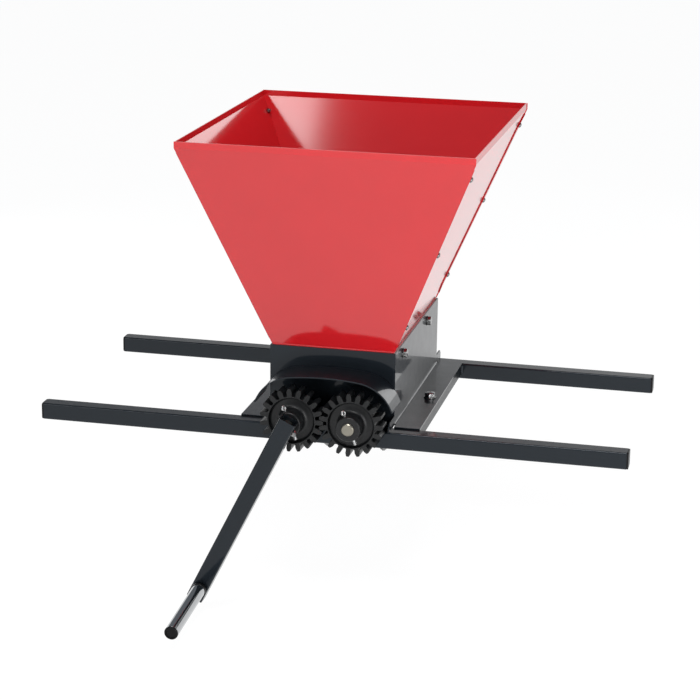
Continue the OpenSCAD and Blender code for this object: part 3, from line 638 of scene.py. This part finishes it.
# %% Bolts and nuts
WALL_BOLT, FOOT_BOLT, HUB_BOLT, CRANK_BOLT, PIN_THREAD = 0.008, 0.010, 0.004, 0.006, 0.012
BAR_NUT, CORNER_SCREW = 0.006, 0.005
COARSE_PITCH = {0.005: 0.0008, 0.006: 0.001, 0.008: 0.00125, 0.010: 0.0015}
HEAD_SHARE, NUT_SHARE, NUT_BORE = 0.65, 0.8, 0.47
THREAD_END = 0.002
UPWARD = (0, 0, 1)


def shank(thread, length):
    """Threaded rod that hangs from Z = 0."""
    return below(thread_rod(thread, COARSE_PITCH[thread], length))


def bolt(thread, length):
    """Head on Z = 0 and a threaded shank below it."""
    return [hexagon(thread, HEAD_SHARE * thread), shank(thread, length)]


def nut(thread):
    """Nut that hangs from Z = 0, chamfered on both faces."""
    return [below(hexagon(thread, NUT_SHARE * thread, bore=NUT_BORE * thread, domed=False))]


print("fasteners for threads of", sorted(COARSE_PITCH))

# %% Wall bolts
low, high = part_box("wall_washers")
wall_x, wall_z = high.x - WASHER_SHARE * WALL_BOLT, (low.z + high.z) / 2
wall_rows = (low.y + WALL_BOLT, high.y - WALL_BOLT)
skirt_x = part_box("wall_nuts")[1].x
wall_bolt_length = wall_x - skirt_x + NUT_SHARE * WALL_BOLT + THREAD_END


def on_both_walls(x):
    """Places of the four wall bolts at a distance from the middle, pointing outwards."""
    return [((side * x, y, wall_z), (side, 0, 0)) for side in (-1, 1) for y in wall_rows]


make_piece("wall_bolts_threaded", spread(bolt(WALL_BOLT, wall_bolt_length), on_both_walls(high.x)), "frame",
           "zinc", ["wall_bolts"])
make_piece("wall_washers_turned", spread([washer(WALL_BOLT)], on_both_walls(wall_x)), "frame",
           "zinc", ["wall_washers"])
make_piece("wall_nuts_chamfered", spread(nut(WALL_BOLT), on_both_walls(skirt_x)), "frame",
           "zinc", ["wall_nuts"])

# %% Foot bolts
low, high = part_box("foot_washers")
foot_x, foot_y = high.x - FOOT_BOLT, (low.y + high.y) / 2
foot_bolt_length = high.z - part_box("foot_bolts")[0].z
foot_pieces = {"foot_bolts": (bolt(FOOT_BOLT, foot_bolt_length), high.z),
               "foot_washers": ([washer(FOOT_BOLT)], low.z),
               "foot_nuts": (nut(FOOT_BOLT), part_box("foot_nuts")[1].z)}
for node, (grids, z) in foot_pieces.items():
    places = [((side * foot_x, foot_y, z), UPWARD) for side in (-1, 1)]
    make_piece(node + "_zinc", spread(grids, places), "frame", "zinc", [node])

# %% Nuts under the front bar
BAR_NUT_STEP, BAR_NUTS = 0.045, 5
low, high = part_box("front_bar")
bar_row = (np.arange(BAR_NUTS) - (BAR_NUTS - 1) / 2) * BAR_NUT_STEP
under_bar = [((x, (low.y + high.y) / 2, low.z), UPWARD) for x in bar_row]
stud = shank(BAR_NUT, NUT_SHARE * BAR_NUT + THREAD_END)
make_piece("bar_nuts_chamfered", spread([*nut(BAR_NUT), stud], under_bar), "frame", "zinc")

# %% [markdown]
# ## Fasteners that turn with the shafts
#
# A slim bolt with an eye crosses each gear hub: one length of half-round wire, bent round into the eye
# and pressed together below it, so that its two legs look like one split rod and part a little at their
# ends. Sweeping a half-round profile along that path would make it; here the eye is a ring whose wire is
# an ellipse, and each leg is a half-round rod whose axis bends outwards. The bolts lean, so their
# direction is taken from the CAD solid itself: the longest direction of its points is their first
# principal axis. The nuts of the crank's bolt and of the handle's pin are set on the axes of those two
# pieces.

# %% Points of a CAD node
WIDE_SHARE = 0.9


def node_points(node):
    """All points of a CAD node as an array."""
    mesh = NODES[node].data
    points = np.empty(len(mesh.vertices) * 3, np.float32)
    mesh.vertices.foreach_get("co", points)
    return points.reshape(-1, 3).astype(float)


def middle_of(points):
    """Middle of the box round the points."""
    return (points.min(0) + points.max(0)) / 2


def long_axis(points):
    """Middle of the points and the direction in which they spread most, pointing to their wider end."""
    middle = middle_of(points)
    axis = np.linalg.svd(points - points.mean(0), full_matrices=False)[2][0]
    along = (points - middle) @ axis
    across = np.linalg.norm(points - middle - along[:, None] * axis, axis=1)
    wide_end = along[across > WIDE_SHARE * across.max()].mean()
    return middle, axis if wide_end > 0 else -axis


print("the crank's bolt points to", np.round(long_axis(node_points("crank_bolt"))[1], 2))

# %% Shapes of the hub bolts
RING_STEPS, WIRE_STEPS, LEG_ROWS = 40, 20, 48
EYE_RADIUS, EYE_WIRE, WIRE_OVAL, STEM_SHARE = 1.2 * HUB_BOLT, 0.4 * HUB_BOLT, 1.1, 0.7
LEG_RADIUS, LEG_GAP, LEG_BEND, BEND_FROM, LEG_TIP = 0.5 * HUB_BOLT, 0.06, 0.5, 0.8, 0.02


def eye_ring(centre, axis, side_axis):
    """Ring in the plane of two axes: round the ring by one angle, round its oval wire by the other."""
    face = np.cross(axis, side_axis)
    ring = np.linspace(0, TURN, RING_STEPS + 1)[:, None, None]
    turn = round_angles(WIRE_STEPS)[None, :, None]
    spoke = np.cos(ring) * side_axis + np.sin(ring) * axis
    reach = EYE_RADIUS - EYE_WIRE + EYE_WIRE * np.cos(turn)
    return centre + reach * spoke + WIRE_OVAL * EYE_WIRE * np.sin(turn) * face


def split_leg(start, axis, side_axis, sign, length):
    """Half-round rod down from a start: its axis bends to one side over the last stretch of its length."""
    share = np.linspace(0, 1, LEG_ROWS)[:, None, None]
    turn = round_angles(WIRE_STEPS)[None, :, None]
    face = np.cross(axis, side_axis)
    bend = LEG_BEND * LEG_RADIUS * np.clip((share - BEND_FROM) / (1 - BEND_FROM), 0, 1) ** 2
    flat = sign * np.maximum(sign * np.cos(turn), LEG_GAP)
    thin = np.sqrt(np.clip((1 - share) / LEG_TIP, 0, 1))
    middle = start - share * length * axis + sign * bend * side_axis
    rod = middle + thin * LEG_RADIUS * (flat * side_axis + np.sin(turn) * face)
    return np.concatenate([np.broadcast_to(start, (1, WIRE_STEPS, 3)), rod])


print("eye", 2 * EYE_RADIUS, "m wide, wire", 2 * EYE_WIRE, "m")

# %% Hub bolts
# Stretch at the eye's end of a bolt in which only points of the eye lie
EYE_STRETCH = 2.2 * HUB_BOLT

for body in ("drive", "driven"):
    points = node_points(body + "_hub_bolt")
    middle, axis = long_axis(points)
    along = (points - middle) @ axis
    eye_points = points[along > along.max() - EYE_STRETCH]
    flat_points = eye_points - eye_points.mean(0)
    flat_points -= (flat_points @ axis)[:, None] * axis
    side_axis = np.linalg.svd(flat_points, full_matrices=False)[2][0]
    centre = middle + (along.max() - EYE_RADIUS) * axis
    stem = centre - STEM_SHARE * EYE_RADIUS * axis
    length = (stem - middle) @ axis - along.min()
    legs = [split_leg(stem, axis, side_axis, sign, length) for sign in (-1, 1)]
    make_piece(body + "_hub_bolt_split", [eye_ring(centre, axis, side_axis), *legs], body, "zinc",
               [body + "_hub_bolt"], dull_zinc)

# %% Nuts of the crank's bolt and the handle's pin
handle = next(j for j in frame["joints"] if j["name"] == "handle_spin")
pin_axis = np.array(handle["axis"])
crank_axis = long_axis(node_points("crank_bolt"))[1]
turning_nuts = {"crank_nut": (CRANK_BOLT, crank_axis), "handle_pin_nut": (PIN_THREAD, -pin_axis)}
for node, (thread, axis) in turning_nuts.items():
    seat = middle_of(np.array(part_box(node))) + NUT_SHARE * thread / 2 * axis
    make_piece(node + "_chamfered", spread(nut(thread), [(seat, axis)]), "drive", "zinc", [node])

# %% [markdown]
# ## Corner screws of the hopper
#
# Small dome-headed screws hold the panels' corner flanges. Their heads are a dome with a cross-shaped
# recess: the height over the head is a spherical cap minus a cross that has soft walls. Cutting the cross
# with a Boolean would leave ragged faces in so small a head. The CAD screws lie in twelve places, so the
# points of their nuts are sorted by corner and by height, and each group's box gives one place.

# %% Screw heads
SCREW_RINGS, DOME_SHARE = 12, 0.97
HEAD_RADIUS, HEAD_RISE = 0.9 * CORNER_SCREW, 0.6 * CORNER_SCREW
CROSS_ARM, CROSS_REACH, CROSS_DEPTH, CROSS_WALL = (s * CORNER_SCREW for s in (0.09, 0.48, 0.3, 0.06))


def screw_head():
    """Dome over the radius and the angle, with a cross cut where either coordinate is small."""
    share = np.concatenate([np.linspace(0, 1, SCREW_RINGS), [1.0]])[:, None]
    angle = round_angles(HEX_SIDES)[None, :]
    x, y = HEAD_RADIUS * share * np.cos(angle), HEAD_RADIUS * share * np.sin(angle)
    dome = HEAD_RISE * np.sqrt(np.clip(1 - (DOME_SHARE * share) ** 2, 0, 1))
    outside = np.maximum(np.minimum(np.abs(x), np.abs(y)) - CROSS_ARM,
                         np.maximum(np.abs(x), np.abs(y)) - CROSS_REACH)
    height = dome - CROSS_DEPTH * np.clip(-outside / CROSS_WALL, 0, 1)
    height[-1] = 0.0
    base = np.zeros((1, HEX_SIDES, 3))
    return np.concatenate([np.stack([x, y, height], axis=-1), base])


print("a screw head has", screw_head().shape, "points")

# %% Corner screws
HOPPER_SHEET, SHEET_GAP, SCREW_SPACE = 0.0015, 0.0002, 0.02
CORNERS = [(side_x, side_y) for side_x in (-1, 1) for side_y in (-1, 1)]


def corner_places(node):
    """Sides and middles of the twelve solids of a node: split by corner, then at the gaps in height."""
    points = node_points(node)
    found = []
    for side_x, side_y in CORNERS:
        group = points[(points[:, 0] * side_x > 0) & (points[:, 1] * side_y > 0)]
        group = group[np.argsort(group[:, 2])]
        cuts = np.flatnonzero(np.diff(group[:, 2]) > SCREW_SPACE) + 1
        found += [(side_x, middle_of(g)) for g in np.split(group, cuts)]
    return found


nut_middles = corner_places("hopper_nuts")
first, last = nut_middles[0][1], nut_middles[2][1]
lean = math.atan2(abs(last[0] - first[0]), last[2] - first[2])
outward = {side: np.array([side * math.cos(lean), 0.0, -math.sin(lean)]) for side in (-1, 1)}
nut_half = NUT_SHARE * CORNER_SCREW / 2
sheets = 2 * HOPPER_SHEET + SHEET_GAP
nut_seats, screw_seats = ([(middle + rise * outward[side], outward[side]) for side, middle in nut_middles]
                          for rise in (nut_half, nut_half + sheets))
screw = [screw_head(), shank(CORNER_SCREW, sheets + NUT_SHARE * CORNER_SCREW + THREAD_END)]
make_piece("hopper_screws_domed", spread(screw, screw_seats), "frame", "zinc", ["hopper_screws"])
make_piece("hopper_nuts_chamfered", spread(nut(CORNER_SCREW), nut_seats), "frame", "zinc", ["hopper_nuts"])

# %% [markdown]
# ## Moulded caps
#
# The plastic caps in the bars' ends have a soft square outline and a rounded edge. A superellipse gives
# the outline: the further its power is above two, the squarer it is. Shrinking that outline while
# stepping it outwards along a quarter circle rounds the edge, and the last ring shrinks to a point. A
# bevelled cube would do for one cap, but not with an outline that is soft all round. The handle's cap and
# the collar at its root are round, so each is a profile turned about the handle's axis.

# %% End caps of the bars
SQUARENESS, CAP_SIDES, BAR_CAP_EDGE, BAR_CAP_STEPS = 9.0, 64, 0.001, 7
DOME_INSET, DOME_RISE = np.array([0.4, 0.7, 1.0]), np.array([0.00015, 0.00025, 0.0003])


def quarter_round(edge, steps):
    """Quarter circle as two arrays: how far it has come in and how far it has risen."""
    angle = np.linspace(0, math.pi / 2, steps)
    return edge * (1 - np.cos(angle)), edge * np.sin(angle)


def square_cap(half, thick):
    """Superellipse rings: straight side, quarter-round edge, slightly domed face, closed at the back."""
    angle = round_angles(CAP_SIDES)
    squared = np.abs(np.cos(angle)) ** SQUARENESS + np.abs(np.sin(angle)) ** SQUARENESS
    outline = half / squared ** (1 / SQUARENESS)
    inset, rise = quarter_round(BAR_CAP_EDGE, BAR_CAP_STEPS)
    insets = np.concatenate([[half, 0.0], inset, half * DOME_INSET])
    heights = np.concatenate([[0.0, 0.0], thick - BAR_CAP_EDGE + rise, thick + DOME_RISE])
    return revolved(outline * (1 - insets / half)[:, None], angle, heights[:, None])


low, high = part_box("bar_end_caps")
bar_low, bar_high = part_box("front_bar")
bar_half = (bar_high.z - bar_low.z) / 2
bar_ends = [((side_x * bar_high.x, side_y * (high.y - bar_half), low.z + bar_half), (side_x, 0, 0))
            for side_x, side_y in CORNERS]
make_piece("bar_end_caps_moulded", spread([square_cap(bar_half, high.x - bar_high.x)], bar_ends), "frame",
           "black_plastic", ["bar_end_caps"])

# %% Handle cap and collar
HANDLE_CAP, CAP_RECESS, RECESS_RIM, RECESS_FLOOR = 0.003, 0.0014, 0.74, 0.70
HANDLE_EDGE, HANDLE_STEPS = 0.002, 8
COLLAR_LENGTH, COLLAR_PROUD, COLLAR_SUNK, COLLAR_GAP = 0.007, 0.001, 0.001, 0.0003


def round_cap(radius):
    """Cap of revolution: straight side, quarter-round edge, flat rim and a round recess inside it."""
    inset, rise = quarter_round(HANDLE_EDGE, HANDLE_STEPS)
    rim = np.stack([radius - inset, HANDLE_CAP - HANDLE_EDGE + rise], axis=-1)
    floor = HANDLE_CAP - CAP_RECESS
    dish = [(RECESS_RIM * radius, HANDLE_CAP), (RECESS_FLOOR * radius, floor), (0, floor)]
    return turned(np.concatenate([[(0, 0), (radius, 0)], rim, dish]))


def collar(inner, outer):
    """Ring of revolution whose two outer edges are quarter rounds."""
    inset, rise = quarter_round(HANDLE_EDGE, HANDLE_STEPS)
    near = np.stack([outer - HANDLE_EDGE + rise, inset], axis=-1)
    far = near[::-1] * (1, -1) + (0, COLLAR_LENGTH)
    return turned(np.concatenate([[(inner, 0)], near, far, [(inner, COLLAR_LENGTH), (inner, 0)]]))


outwards = -pin_axis
pivot = np.array(handle["pos_m"])
sleeve_points = node_points("handle_sleeve")
sleeve_radius = np.ptp(sleeve_points[:, 0]) / 2
along = (sleeve_points - pivot) @ outwards
cap_seat = (pivot + along.max() * outwards, outwards)
collar_seat = (pivot + (along.min() + COLLAR_GAP) * outwards, outwards)
ring = collar(sleeve_radius - COLLAR_SUNK, sleeve_radius + COLLAR_PROUD)
make_piece("handle_cap_moulded", spread([round_cap(sleeve_radius)], [cap_seat]), "handle", "black_plastic",
           ["handle_cap"])
make_piece("handle_collar_moulded", spread([ring], [collar_seat]), "handle", "black_plastic")

# %% [markdown]
# ## Weld beads
#
# The cross rails are welded to the bars. A weld bead is a row of overlapping puddles, so a rod whose
# radius rises and falls along its length looks right: one formula over the length and the angle round the
# bead. The bead sits in the corner between two faces and sinks into both. A bump in the paint would
# vanish at the outline, where a weld shows most.

# %% Weld beads
BEAD, BEAD_SIDES, RIPPLES_PER_METRE, ROWS_PER_RIPPLE, LEAST_ROWS = 0.0028, 16, 420, 6, 12
RIPPLE_RISE, BEAD_WAVER, END_POWER = 0.10, 0.05, 10
WELD_BACK, WELD_IN, WELD_SHORT = 0.0006, 0.0002, 0.001


def bead(start, end, phase):
    """Rod from start to end, thinned at both; its radius swells with the size of a sine along it."""
    start, end = np.asarray(start), np.asarray(end)
    length = np.linalg.norm(end - start)
    rows = max(int(length * RIPPLES_PER_METRE * ROWS_PER_RIPPLE), LEAST_ROWS)
    along = np.linspace(0, 1, rows)[:, None]
    angle = round_angles(BEAD_SIDES)[None, :]
    ripple = 1 + RIPPLE_RISE * np.abs(np.sin(math.pi * (along * length * RIPPLES_PER_METRE + phase)))
    ends = np.sqrt(np.clip(1 - np.abs(2 * along - 1) ** END_POWER, 0, 1))
    radius = BEAD * ripple * ends * (1 + BEAD_WAVER * np.sin(3 * angle + phase))
    return placed(revolved(radius, angle, along * length), start, end - start)


rail_low, rail_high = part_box("right_rail")
near_x, far_x = rail_low.x + WELD_IN, rail_high.x - WELD_IN
foot_z, head_z = rail_low.z + WELD_SHORT, rail_high.z - WELD_SHORT
beads = []
for index, (side_x, side_y) in enumerate(CORNERS):
    weld_y = side_y * (rail_high.y - WELD_BACK)
    for x in (near_x, far_x):
        beads.append(bead((side_x * x, weld_y, foot_z), (side_x * x, weld_y, head_z), index))
    beads.append(bead((side_x * near_x, weld_y, rail_low.z), (side_x * far_x, weld_y, rail_low.z), index))
make_piece("rail_welds", beads, "frame", "black_paint")

# %% [markdown]
# ## The studio
#
# Gloss paint shows its surroundings, so the studio is built from what the paint is to mirror: white round
# the horizon, darker and cooler above, a white floor, and large soft lamps. A picture of a studio could
# light the scene instead, but a formula does: the height of a direction above a tipped horizon sets the
# colour of the world. The horizon is tipped because the white backdrop of such a studio reaches higher
# behind the crusher and to its right. The floor is white to the camera and in mirrors mostly by itself,
# and the rest of its colour is real light, so a soft shadow stays.

# %% World
SKY_LOW, SKY_HIGH = (1.0, 1.0, 1.0), (0.19, 0.205, 0.225)
SKY_TILT, SKY_FADE = (-0.25, -0.13, 1.0), (0.14, 0.28)
world = bpy.data.worlds.new("white_studio")
bpy.context.scene.world = world
world.use_nodes = True
sky = Nodes(world.node_tree)
direction = sky.node("TexCoord", {}, {}, "Generated")
height = sky.node("VectorMath", {"operation": "DOT_PRODUCT"}, {0: direction, 1: SKY_TILT}, "Value")
fade = sky.node("MapRange", {"interpolation_type": "SMOOTHSTEP"},
                {"Value": height, "From Min": SKY_FADE[0], "From Max": SKY_FADE[1]})
colour = sky.blend(SKY_LOW, SKY_HIGH, fade)
sky.tree.links.new(colour.socket, sky.tree.nodes["Background"].inputs["Color"])
print("world from", SKY_LOW, "at the horizon to", SKY_HIGH, "above")

# %% Floor
FLOOR_DROP, FLOOR_HALF, FLOOR_OWN_WHITE, FLOOR_GLOW = 0.02, 14.0, 0.85, 1.1
PAPER_DARK, PAPER_LIGHT = (0.86, 0.86, 0.86), (0.9, 0.9, 0.9)


def seen_rays(nodes):
    """1 on rays from the camera and on mirrored or refracted rays, 0 on the rest."""
    kinds = ("Is Camera Ray", "Is Glossy Ray", "Is Transmission Ray")
    camera_ray, mirrored, refracted = (nodes.node("LightPath", {}, {}, kind) for kind in kinds)
    return camera_ray.larger(mirrored).larger(refracted)


def white_paper():
    """Pale paper under the lamps, mixed with its own white light on the rays that are seen."""
    paper = Finish("white_paper", roughness=0.9, specular_ior_level=0.1)
    paper.set(base_color=paper.blend(PAPER_DARK, PAPER_LIGHT, paper.noise(3.0)))
    lit = Value(paper, paper.shader.outputs[0])
    glow = paper.node("Emission", {}, {"Strength": FLOOR_GLOW})
    mixed = paper.node("MixShader", {}, {0: seen_rays(paper) * FLOOR_OWN_WHITE, 1: lit, 2: glow})
    paper.tree.links.new(mixed.socket, paper.tree.nodes["Material Output"].inputs["Surface"])
    return paper.material


floor_z = cad_low.z - FLOOR_DROP
x, y = np.meshgrid((-FLOOR_HALF, FLOOR_HALF), (-FLOOR_HALF, FLOOR_HALF))
floor_points = np.stack([x, y, np.full_like(x, floor_z)], axis=-1).reshape(-1, 3)
floor_mesh = bpy.data.meshes.new("floor")
floor_mesh.from_pydata(floor_points.tolist(), [], [(0, 1, 3, 2)])
floor_mesh.materials.append(white_paper())
add_object("floor", floor_mesh)
print("floor at", round(floor_z, 3))

# %% [markdown]
# ## The lamps
#
# Soft boxes are rectangles of even light, and gloss paint mirrors their outlines, so each has its work.
# The low box on the right is the main light and makes the front panel brighter towards its lower right.
# The small box on the left is what the inside of the rear panel mirrors. The large box overhead fills the
# inside of the hopper. The weak strip behind is mirrored in the left panel's inside, and the box behind
# on the left lights the back. Sun or point lamps would be simpler, but draw hard spots on gloss paint.

# %% Lamps
LAMP_AIM = np.array([0.0, 0.0, 0.25])
# Each lamp's place, its width and height, and its radiance
LAMPS = {"right_box": ((1.15, -1.35, 0.2), (0.9, 0.9), 4.0),
         "left_box": ((-1.267, -2.75, 1.28), (0.7, 0.7), 6.3),
         "front_box": ((0.2, -1.45, 2.9), (1.5, 1.0), 11.0),
         "rear_strip": ((1.05, 2.85, 0.7), (0.8, 1.0), 1.4),
         "rear_box": ((-2.2, 1.6, 0.4), (0.9, 0.9), 5.0)}


def soft_lamp(name, place, size, radiance):
    """Rectangular lamp turned to the crusher; its power is its radiance times its area times pi."""
    light = bpy.data.lights.new(name, "AREA")
    light.shape = "RECTANGLE"
    light.size, light.size_y = size
    light.energy = radiance * math.pi * size[0] * size[1]
    away = np.asarray(place) - LAMP_AIM
    away /= np.linalg.norm(away)
    across = np.cross(UPWARD, away)
    across /= np.linalg.norm(across)
    add_object(name, light).matrix_world = posed(across, np.cross(away, across), away, place)
    print(name, round(light.energy, 1), "W")


for name, (place, size, radiance) in LAMPS.items():
    soft_lamp(name, place, size, radiance)

# %% [markdown]
# ## Colour view
#
# The Standard view shows colours as they are written.

# %% Colour view
bpy.context.scene.view_settings.view_transform = "Standard"
